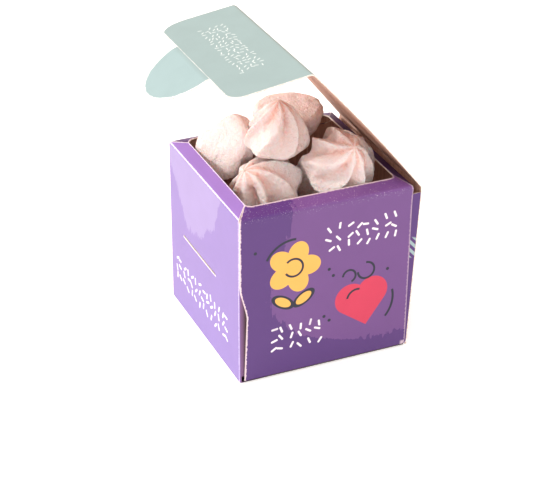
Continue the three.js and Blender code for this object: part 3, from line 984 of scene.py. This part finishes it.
class CARTON_OT_walls(bpy.types.Operator):
    """Make the walls of the carton with the frame round its opening, its flaps and its base"""

    bl_idname = "carton.walls"
    bl_label = "Walls and frame"

    def execute(self, context):
        sizes = context.scene.carton_sizes
        radius, bulge = sizes.fold_radius / MM, sizes.panel_bulge / MM
        self.front(radius, bulge)
        self.slit_side(radius, bulge)
        self.back(radius, bulge)
        self.lid_wall(bulge)
        self.free_strip()
        self.glued_flaps()
        self.notch_flap()
        self.base()
        return {"FINISHED"}

    def front(self, radius, bulge):
        points, flat = wall_with_strip(
            "front", (-SIDE, -FACE), (SIDE, -FACE), radius, bulge, front_cuts, WALL_ROWS, 1.3
        )
        carton_piece("front_panel", points, flat, "front print")

    def slit_side(self, radius, bulge):
        """The wall's rows include the slit's two edges, and the quads between them are left out."""
        end = FACE - CARD
        corners = (-SIDE, end), (-SIDE, 0.6 - end)
        points, flat = wall_with_strip("left", *corners, radius, bulge, rows=WALL_ROWS)
        wall = WALL_ROWS - 1
        heights = points[:wall, 0, 2].copy()
        below = int(np.argmin(np.abs(heights - SLIT["low"])))
        for row, height in ((below, SLIT["low"]), (below + 1, SLIT["high"])):
            points[row, :, 2] = height
            flat[row, :, 1] = height
        across = points[0, :, 1]
        near = int(np.argmin(np.abs(across - SLIT["far"])))
        far = int(np.argmin(np.abs(across - SLIT["near"])))
        moved = across.copy()
        moved[near], moved[far] = SLIT["far"], SLIT["near"]
        points[:wall, :, 1] = moved
        flat[:wall, :, 0] = moved
        keep = np.ones((points.shape[0] - 1, points.shape[1] - 1), bool)
        keep[below, near:far] = False
        carton_piece("slit_side", points, flat, "slit side print", keep=keep)

    def back(self, radius, bulge):
        points, flat = wall_with_strip("back", (SIDE, FACE), (-SIDE, FACE), radius, bulge)
        carton_piece("back_panel", points, flat, "back print")

    def lid_wall(self, bulge):
        """The wall that carries the lid leans outwards and ends at the crease."""
        top = HINGES["lid_crease"][2] - 1.0
        foot = (lid_wall_x(0.0), -FACE + CARD, 0.05)
        rise = (lid_wall_x(top) - lid_wall_x(0.0), 0.0, top - 0.05)
        points, down, over = rectangle(foot, rise, (0.0, 2 * (FACE - CARD), 0.0), 30, 30)
        swell = bulge * np.sin(math.pi * down)[:, None] * np.sin(math.pi * over)[None, :]
        points[..., 0] += swell
        carton_piece("lid_wall", points, unworn(points, 1, 2), "lid wall print")

    def free_strip(self):
        """The strip beside the lid, whose outer edge hangs free over the gap to the wall."""
        inner = along_line(opening_side("right"), graded(70.0, 24))
        end = FACE - 0.6
        outer = np.stack([np.full(len(inner), SIDE), np.linspace(-end, end, len(inner))], -1)
        mix = graded(6.0, 5, (0.0, 0.15, 0.5))
        points = np.zeros((len(mix), len(inner), 3))
        points[..., :2] = outer[None] * (1 - mix[:, None, None]) + inner[None] * mix[:, None, None]
        points[..., 2] = TOP + OPENING["rise"] * mix[:, None]
        flat = np.zeros_like(points)
        flat[..., 0] = points[..., 1]
        flat[..., 1] = TOP + 6.0 * mix[:, None]
        flat[..., 2] = (6.0 * (1 - mix))[:, None]
        carton_piece("free_strip", points, flat, "lid wall print")

    def glued_flaps(self):
        """Flaps behind the front and back panels; those of the leaning wall show beyond them."""
        hidden, sheet_end = 28.0, 79.0
        rows = np.concatenate([[0.8, 1.4], np.linspace(2.2, 74.6, 24), [75.0, 75.4]])
        shares = graded(14.0, 8)
        outer = lid_wall_x(rows) - 0.02
        outer[:2] -= np.array([1.3, 0.6])
        points = np.zeros((len(rows), len(shares), 3))
        across = hidden + (outer[:, None] - hidden) * shares[None, :]
        points[..., 0] = across
        points[..., 2] = rows[:, None]
        tilt = (across - SIDE) * 0.27
        points[-2:, :, 2] = np.minimum(points[-2:, :, 2] + tilt[-2:], 75.7)
        flat = np.stack([across - sheet_end, points[..., 2], outer[:, None] - across], -1)
        for name, facing in (("front", 1), ("back", -1)):
            points[..., 1] = facing * (1.1 * CARD - FACE)
            carton_piece(f"lid_wall_{name}_flap", points, flat, "lid wall print", -facing)

    def notch_flap(self):
        """The slit wall bends round its upright corner and goes on behind the front panel."""
        turn = np.linspace(0, math.pi / 2, 7)
        reach = np.linspace(-SIDE + 1.2, -SIDE + 12.0, 8)
        across = np.concatenate([-SIDE + 0.6 * (1 - np.cos(turn)), reach])
        depth = np.concatenate([-FACE + CARD + 0.6 * (1 - np.sin(turn)), np.full(8, -FACE + CARD)])
        rows = np.linspace(BASE_GAP, 78.6, 30)
        points = np.zeros((len(rows), len(across), 3))
        points[..., 0], points[..., 1], points[..., 2] = across, depth, rows[:, None]
        carton_piece("slit_side_flap", points, unworn(points, 0, 2), "notch flap painted shade")

    def base(self):
        """The floor of the carton, whose front edge turns up behind the front panel; its outside is
        near black, painted shade for the dark line under the front.
        """
        turn = np.linspace(0, math.pi / 2, 6)
        floor = np.linspace(FACE - 0.6, -FACE + 1.4, 20)
        depth = np.concatenate([floor, -FACE + 1.3 - 0.8 * np.sin(turn), [-FACE + 0.5] * 2])
        height = np.concatenate([np.zeros(20), 0.8 * (1 - np.cos(turn)), [1.6, 3.5]])
        across = np.linspace(-SIDE + 0.8, lid_wall_x(0) - 1.6, 12)
        points = np.zeros((len(across), len(depth), 3))
        points[..., 0], points[..., 1], points[..., 2] = across[:, None], depth, height
        carton_piece("base_panel", points, unworn(points, 0, 1), "base painted shade", 1)


def panel_axes(angle):
    """Direction away from the crease and outward normal of a panel at its rest angle."""
    a = math.radians(angle)
    return np.array([-math.cos(a), 0.0, math.sin(a)]), np.array([math.sin(a), 0.0, math.cos(a)])


def panel_grid(hinge, angle, along, low, high, columns, start, bow=0.0, length=1.0):
    """Grid of a folded panel: rows go away from the crease, columns from its low to high side."""
    out, normal = panel_axes(angle)
    share = graded(40.0, columns, (0.0, 0.15, 0.5, 1.2))
    across = low[:, None] + (high - low)[:, None] * share[None, :]
    lift = CARD + bow * np.sin(math.pi * np.clip(along / length, 0, 1))
    points = (
        HINGES[hinge]
        + along[:, None, None] * out
        + lift[:, None, None] * normal
        + across[..., None] * ALONG_CREASE
    )
    edge = np.minimum(across - low[:, None], high[:, None] - across)
    flat = np.stack([across, np.broadcast_to((start + along)[:, None], across.shape), edge], -1)
    return points, flat


def rounded(along, end, reach, width):
    """How far a quarter ellipse draws in a side before the end of a panel."""
    share = np.clip((along - end + reach) / reach, 0, 1)
    return width * (1 - np.sqrt(1 - share**2))


class CARTON_OT_lid(bpy.types.Operator):
    """Make the lid, its tuck flap and lock tab, and the creases between them"""

    bl_idname = "carton.lid"
    bl_label = "Lid, flap and tab"

    def execute(self, context):
        self.lid(context.scene.carton_sizes.lid_bow / MM)
        self.flap()
        self.tab()
        self.creases()
        return {"FINISHED"}

    def lid(self, bow):
        along = 1.0 + (LID["length"] - 2.0) * graded(78.0, 40)
        step = np.interp(along, [LID["neck"], LID["neck"] + 1.0], [1.0, 0.0])
        half = LID["half"] - LID["neck_inset"] * step
        points, flat = panel_grid(
            "lid_crease", LID_ANGLE, along, -half, half, 34, 40.0, bow, LID["length"]
        )
        lid_piece("lid", points, flat, "lid", "lid_panel")

    def flap(self):
        """Both free corners are rounded: quarter ellipses give the sides there."""
        end = FLAP["length"] - 1.0
        near, far = FLAP["near_corner"], FLAP["far_corner"]
        turn = np.linspace(0, math.pi / 2, 16)
        even = graded(35.0, 18) * (end - 1.0) + 1.0
        along = np.unique(np.concatenate([even, end - near + near * np.sin(turn)]))
        low = -FLAP["half"] + rounded(along, end, near, near)
        high = FLAP["half"] - rounded(along, end, 1.7 * far, far)
        points, flat = panel_grid("flap_crease", FLAP_ANGLE, along, low, high, 34, 120.7)
        flat[..., 2] = np.minimum(flat[..., 2], (end - along)[:, None] + 0.1)
        lid_piece("flap", points, flat, "flap", "tuck_flap")

    def tab(self):
        """Half of a rounded oval: the half width follows a superellipse along the tab."""
        turn = np.linspace(0.0, 1.0, 34)
        along = 1.0 + (TAB["length"] - 1.03) * np.sin(turn * math.pi / 2)
        power = TAB["roundness"]
        half = TAB["half"] * np.clip(1 - (along / TAB["length"]) ** power, 0, 1) ** (1 / power)
        points, flat = panel_grid("tab_crease", TAB_ANGLE, along, -half, half, 26, 157.4)
        middle = np.hypot(along[:, None] / TAB["length"], flat[..., 0] / TAB["half"])
        flat[..., 2] = np.clip((1 - middle) * TAB["half"], 0, 9)
        lid_piece("tab", points, flat, "tab", "lock_tab")

    def creases(self):
        """Narrow strips that bend at each fold, between the ends of the two panels.

        Each follows a cubic curve, which leaves both panels along their own directions.
        """
        back = -np.array([math.sin(WALL_LEAN), 0.0, math.cos(WALL_LEAN)])
        back_normal = np.zeros(3)
        t = np.linspace(0, 1, 11)[:, None]
        pull = 0.62
        for fold, angle in zip(FOLDS, (LID_ANGLE, FLAP_ANGLE, TAB_ANGLE)):
            child, parent, node, half, start, outside = fold
            out, normal = panel_axes(angle)
            centre = HINGES[f"{child}_crease"]
            first = centre + back + CARD * back_normal
            last = centre + out + CARD * normal
            line = (
                (1 - t) ** 3 * first
                + 3 * (1 - t) ** 2 * t * (first - pull * back)
                + 3 * (1 - t) * t**2 * (last - pull * out)
                + t**3 * last
            )
            across = np.linspace(-half, half, 30)
            points = line[:, None, :] + across[None, :, None] * ALONG_CREASE
            level, along = np.meshgrid(across, np.linspace(0, 2.0, len(t)) + start)
            flat = np.stack([level, along, half - np.abs(level)], -1)
            piece = card_sheet(f"{child}_fold", points, flat, card_materials(outside), -1)
            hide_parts(node)
            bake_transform(piece)
            back, back_normal = -out, normal


# Kisses


def kiss_profile(share):
    """Radius share over height: a slightly drawn-in foot, a dome and a pinched nib."""
    up = np.clip((share - BELLY_AT) / 0.8, 0, 1)
    dome = (1 - up**1.7) ** 0.7
    foot = 0.9 + 0.1 * np.sin(math.pi / 2 * np.minimum(share / BELLY_AT, 1))
    nib = 0.14 * np.minimum((1 - share) / 0.2, 1)
    return np.maximum(foot * dome, nib)


def kiss_radius(kiss, angle, share, depth, streak):
    """Radius of a kiss over its angle and height, and how deep in a valley each place is.

    Half the ridge count times the twisted angle gives the phase. A valley is the size of its
    sine, rounded a little at the crests. Valleys fade towards the base and the tip. Slow waves
    bend the ridges and make them unequal; fast ones are the streaks that the nozzle leaves.
    """
    seed = kiss.seed
    bend = 0.12 * np.sin(2 * angle + 3 * share + seed)
    bend += 0.05 * np.sin(3 * angle - 5 * share + 2 * seed)
    phase = kiss.ridges * (angle + bend + kiss.twist * share) / 2
    valley = (np.sqrt(np.sin(phase) ** 2 + 0.02) - 0.141) / 0.869
    uneven = 1 + 0.3 * np.sin(3 * angle + 1.7 * seed) + 0.2 * np.sin(5 * angle + 3 * share - seed)
    begun = np.clip(share / 0.42, 0, 1)
    begun = begun**2 * (3 - 2 * begun)
    ended = np.clip((1 - share) / 0.3, 0.45, 1)
    rooted = kiss.root + (1.2 - kiss.root) * begun
    cut = depth * kiss.depth * rooted * ended * np.clip(uneven, 0.2, 1.6)
    wobble = np.sin(2 * angle + 2.4 * seed) + 0.6 * np.sin(3 * angle + 4.1 * seed)
    size = kiss.radius * kiss_profile(share) * (1 - cut * valley) * (1 + 0.035 * wobble)
    waves = np.zeros_like(angle)
    for count, strength in ((19, 1.0), (31, 0.8), (43, 0.6)):
        shift = seed * count + 1.4 * np.sin(3.1 * share + count)
        waves += strength * np.sin(count * (angle + kiss.twist * share) + shift)
    fade = np.clip(share / 0.12, 0, 1) * np.clip((1 - share) / 0.25, 0, 1)
    return size + streak * fade * waves, valley


def rough(points, seed, size):
    """Uneven value from about -1 to 1 at each point: sine waves in twelve odd directions."""
    odd = np.arange(1, 13)[:, None] * np.array([[1.9, 3.7, 5.3]]) + seed
    directions = np.sin(odd * 7.1)
    directions /= np.linalg.norm(directions, axis=1, keepdims=True)
    lengths = size * (0.6 + 0.8 * (0.5 + 0.5 * np.sin(odd.sum(axis=1))))
    phases = points @ (directions * (2 * math.pi / lengths)[:, None]).T + 9.7 * odd[:, 0]
    return np.sin(phases + 1.3 * np.roll(np.sin(phases), 1, axis=-1)).mean(axis=-1) * 2.2


def kiss_axes(lean, toward):
    """Right, up and axis directions of a kiss that leans over."""
    t, a = math.radians(lean), math.radians(toward)
    axis = np.array([math.sin(t) * math.cos(a), math.sin(t) * math.sin(a), math.cos(t)])
    right = np.array([-math.sin(a), math.cos(a), 0.0])
    return right, np.cross(axis, right), axis


def kiss_base(kiss, edge, angle):
    """Rings over the base, from near its middle to its edge: a shallow hollow with a quilt."""
    disc = np.array([0.02, 0.14, 0.28, 0.42, 0.56, 0.68, 0.79, 0.88, 0.94, 0.98])[:, None]
    size = edge[None, :] * disc
    angle = np.broadcast_to(angle, size.shape)
    x, y = size * np.cos(angle), size * np.sin(angle)
    quilt = np.sin(0.55 * x + kiss.seed) * np.sin(0.6 * y)
    return size, angle, disc**3 - 0.75 + 0.3 * quilt * (1 - disc**2)


def kiss_grid(kiss, around, up):
    """Closed grid of a kiss: rings over its flat base, then up its side to the nib."""
    shape = bpy.context.scene.kiss_shape
    turn = np.linspace(0, 2 * math.pi, around, endpoint=False)
    share = np.concatenate([[0.012, 0.03], np.linspace(0.055, 0.999, up) ** 0.95])
    angle, rise = np.meshgrid(turn, share)
    angle = angle - kiss.twist * rise
    size, valley = kiss_radius(kiss, angle, rise, shape.valley_depth, shape.streak / MM)
    low = np.clip(1 - rise * kiss.height / 2.2, 0, 1)
    size -= 1.5 * low**2.5
    for where, amount in kiss.dents:
        facing = np.clip(np.cos(angle + kiss.turn - math.radians(where)), 0, 1)
        size *= 1 - amount * facing**4
    rim, base_angle, sunk = kiss_base(kiss, size[0], angle[0])
    size = np.concatenate([rim, size])
    angle = np.concatenate([base_angle, angle])
    level = np.concatenate([sunk + 0 * rim, kiss.height * rise])
    tip = np.concatenate([0 * rim, rise])
    nod = 0.9 * tip**3
    x = size * np.cos(angle + kiss.turn) + nod * math.cos(kiss.seed)
    y = size * np.sin(angle + kiss.turn) + nod * math.sin(kiss.seed)
    local = np.stack([x, y, level], -1)
    lumps = 0.42 * rough(local, kiss.seed, 8.5) + 0.12 * rough(local, kiss.seed + 5, 3.6)
    sideways = lumps * np.clip((1 - tip) / 0.15, 0.25, 1) * np.clip(tip / 0.08, 0, 1)
    out = np.maximum(size, 0.3)
    x += x / out * sideways
    y += y / out * sideways
    level += 0.55 * lumps * np.clip(1 - tip / 0.08, 0, 1)
    right, over, axis = kiss_axes(kiss.lean, kiss.toward)
    points = np.array(kiss.foot) + x[..., None] * right + y[..., None] * over
    points += level[..., None] * axis
    # How much painted valley shade the skin puts at each place; the base gets a little.
    valley = np.concatenate([0.25 * np.ones_like(rim), valley * (0.35 + 0.65 * rise)])
    flow = angle + kiss.twist * tip
    piping = np.stack([14 * np.cos(flow), 14 * np.sin(flow), 2.2 * tip + kiss.seed], -1)
    return points, valley, piping


def kiss_faces(rows, around, start=0):
    """Quads round the side, and one small face at each pole."""
    quads = grid_quads(rows, around, closed=True).reshape(-1, 4)[:, ::-1] + start
    ring = np.arange(around) + start
    return [*quads.tolist(), ring[::-1].tolist(), (ring + (rows - 1) * around).tolist()]


class CARTON_OT_kisses(bpy.types.Operator):
    """Make the marshmallow kisses that show above the rim"""

    bl_idname = "carton.kisses"
    bl_label = "Kisses"

    def execute(self, context):
        skin = materials()["kiss skin"]
        for name, kiss in KISSES.items():
            points, valley, piping = kiss_grid(kiss, *SHOWN_GRID)
            rows, around = points.shape[:2]
            marks = {"valley": valley.ravel(), "piping": piping.reshape(-1, 3)}
            faces = kiss_faces(rows, around)
            piece = add_mesh(f"piped_{name}", points.reshape(-1, 3), faces, [skin], None, marks)
            place(piece, "box", name)
        return {"FINISHED"}


def pressed(points, room=0.4):
    """Moves points that lie inside a kiss above out to just under its surface.

    Each point is read in the kiss's own height and radius; where it is nearer the axis than
    the kiss's surface, it is pushed straight away from the axis.
    """
    moved = points.copy()
    shape = bpy.context.scene.kiss_shape
    for kiss in KISSES.values():
        right, over, axis = kiss_axes(kiss.lean, kiss.toward)
        away = moved - np.array(kiss.foot)
        rise = away @ axis
        x, y = away @ right, away @ over
        share = np.clip(rise / kiss.height, 0, 1)
        angle = np.arctan2(y, x) - kiss.turn
        size, _ = kiss_radius(kiss, angle, share, shape.valley_depth, 0.0)
        size = size + room
        distance = np.maximum(np.hypot(x, y), 1e-6)
        inside = (distance < size) & (rise > -room) & (rise < kiss.height + room)
        push = np.where(inside, size / distance - 1, 0.0)
        moved += push[:, None] * (x[:, None] * right + y[:, None] * over)
    return moved


class CARTON_OT_lower_layers(bpy.types.Operator):
    """Make the layer of kisses under those on top, with a plain fill below it"""

    bl_idname = "carton.lower_layers"
    bl_label = "Lower layers"

    def execute(self, context):
        skin = materials()["kiss skin"]
        points, valleys, pipings, faces = [], [], [], []
        count = 0
        radius, height, base, pitch, jitter = HIDDEN.values()
        for seed in range(9):
            row, column = seed // 3 - 1, seed % 3 - 1
            shift = jitter * math.sin(5.3 * seed)
            foot = (pitch * column + shift, pitch * row - shift, base)
            kiss = Kiss(foot, 0.01, 0.0, 0.7 * seed, radius, height, seed)
            grid, valley, piping = kiss_grid(kiss, *HIDDEN_GRID)
            faces += kiss_faces(grid.shape[0], grid.shape[1], count)
            points.append(pressed(grid.reshape(-1, 3)))
            valleys.append(valley.ravel())
            pipings.append(piping.reshape(-1, 3))
            count += len(points[-1])
        marks = {"valley": np.concatenate(valleys), "piping": np.concatenate(pipings)}
        layer = add_mesh("second_layer", np.concatenate(points), faces, [skin], None, marks)
        place(layer, "box", "lower_layers")
        place(self.fill(skin), "box", "lower_layers")
        return {"FINISHED"}

    def fill(self, skin):
        """A block whose top is a quilt of low humps, the tops of what lies deeper."""
        grid, down, over = rectangle((-35.0, -39.4, 43.0), (74.2, 0, 0), (0, 78.8, 0), 44, 44)
        humps = np.abs(np.sin(grid[..., 0] * 0.13 + 1.2) * np.sin(grid[..., 1] * 0.125 + 0.6))
        down, over = np.minimum(down, 1 - down), np.minimum(over, 1 - over)
        border = np.minimum(down[:, None], over[None, :])
        grid[..., 2] += 3.0 * humps * np.clip(border / 0.06, 0, 1)
        under = grid.copy()
        under[..., 2] = 0.8
        return card_sheet("deeper_fill", grid, np.zeros_like(grid), [skin] * 3, under=under)


# Studio


def camera_axes():
    """Forward, right and up of the camera from its azimuth, elevation and roll."""
    azimuth, elevation = math.radians(CAMERA["azimuth"]), math.radians(CAMERA["elevation"])
    forward = Vector(
        (
            -math.sin(azimuth) * math.cos(elevation),
            math.cos(azimuth) * math.cos(elevation),
            -math.sin(elevation),
        )
    )
    level = forward.cross(Vector((0, 0, 1))).normalized()
    upright = level.cross(forward)
    roll = math.radians(CAMERA["roll"])
    right = level * math.cos(roll) + upright * math.sin(roll)
    return forward, right, right.cross(forward)


class CARTON_OT_studio(bpy.types.Operator):
    """Make the floor, the lights and the camera"""

    bl_idname = "carton.studio"
    bl_label = "Studio"

    def execute(self, context):
        self.floor()
        self.lights(context.scene.carton_studio)
        self.camera()
        return {"FINISHED"}

    def floor(self):
        """A pale sheet on which the carton stands."""
        reach = 3000.0
        points, _, _ = rectangle((-reach, -reach, -0.15), (2 * reach, 0, 0), (0, 2 * reach, 0), 8, 8)
        net, shader = new_material("pale floor")
        place_of = net.add("ShaderNodeTexCoord").outputs["Object"]
        cloud = net.noise(place_of, 3.0, 2.0)
        paper = net.mix(cloud, (0.90, 0.90, 0.91, 1), (0.92, 0.92, 0.92, 1))
        net.fill(shader.inputs["Base Color"], paper)
        shader.inputs["Roughness"].default_value = 0.9
        shader.inputs["Emission Color"].default_value = (1, 1, 1, 1)
        shader.inputs["Emission Strength"].default_value = 0.45
        quads = grid_quads(*points.shape[:2]).reshape(-1, 4)
        paint = bpy.data.materials["pale floor"]
        add_mesh("floor", points.reshape(-1, 3), quads, [paint])

    def lights(self, studio):
        """A room that is warmer towards the right, a sun behind on the left and one in front."""
        world = bpy.data.worlds.new("soft room")
        world.use_nodes = True
        background = world.node_tree.nodes["Background"]
        net = Net(world.node_tree)
        toward = net.add("ShaderNodeTexCoord").outputs["Generated"]
        side = net.vector("DOT_PRODUCT", toward, (0.85, 0.5, -0.1))
        warmth = net.ramp(side, -0.6, 0.8)
        sky = net.mix(warmth, TINTS["cool sky"], TINTS["warm sky"])
        net.fill(background.inputs["Color"], sky)
        background.inputs["Strength"].default_value = studio.sky_power
        bpy.context.scene.world = world
        self.sun("key", studio.key_power, 9, (-0.78, 0.50, 0.46), (1.0, 0.97, 0.94))
        self.sun("fill", studio.fill_power, 50, (-0.30, -0.85, 0.42))
        bpy.context.scene.view_settings.view_transform = "Standard"

    def sun(self, name, power, width, toward, colour=(1.0, 1.0, 1.0)):
        """A sun of a width in degrees, which shines from a direction."""
        light = bpy.data.lights.new(name, "SUN")
        light.energy = power
        light.angle = math.radians(width)
        light.color = colour
        lamp = bpy.data.objects.new(name, light)
        lamp.rotation_euler = Vector(toward).to_track_quat("Z", "Y").to_euler()
        bpy.context.collection.objects.link(lamp)

    def camera(self):
        forward, right, up = camera_axes()
        data = bpy.data.cameras.new("camera")
        data.sensor_width = 36.0
        data.sensor_fit = "HORIZONTAL"
        data.lens = CAMERA["focal_px"] / CAMERA["image_width_px"] * data.sensor_width
        data.clip_start, data.clip_end = 0.05, 20.0
        camera = bpy.data.objects.new("camera", data)
        turn = Matrix((right, up, -forward)).transposed().to_4x4()
        camera.matrix_world = Matrix.Translation(Vector(CAMERA["place"]) * MM) @ turn
        bpy.context.collection.objects.link(camera)
        bpy.context.scene.camera = camera


class CARTON_PT_panel(bpy.types.Panel):
    """Lists the carton's operators and settings"""

    bl_label = "Carton of kisses"
    bl_idname = "CARTON_PT_panel"
    bl_space_type = "VIEW_3D"
    bl_region_type = "UI"
    bl_category = "Carton"

    def draw(self, context):
        for name, kind in GROUPS.items():
            box = self.layout.box()
            for field in kind.__annotations__:
                box.prop(getattr(context.scene, name), field)
        for operator in OPERATORS:
            self.layout.operator(operator.bl_idname)


GROUPS = {
    "carton_sizes": CartonSettings,
    "kiss_shape": KissSettings,
    "carton_colours": ColourSettings,
    "carton_studio": StudioSettings,
}
OPERATORS = (
    CARTON_OT_studio,
    CARTON_OT_walls,
    CARTON_OT_lid,
    CARTON_OT_kisses,
    CARTON_OT_lower_layers,
)


def register():
    for name, group in GROUPS.items():
        bpy.utils.register_class(group)
        setattr(bpy.types.Scene, name, bpy.props.PointerProperty(type=group))
    for item in (*OPERATORS, CARTON_PT_panel):
        bpy.utils.register_class(item)


def unregister():
    for item in (CARTON_PT_panel, *reversed(OPERATORS)):
        bpy.utils.unregister_class(item)
    for name, group in GROUPS.items():
        delattr(bpy.types.Scene, name)
        bpy.utils.unregister_class(group)


def main():
    register()
    bpy.ops.carton.studio()
    bpy.ops.carton.walls()
    bpy.ops.carton.lid()
    bpy.ops.carton.kisses()
    bpy.ops.carton.lower_layers()


if __name__ == "__main__":
    main()
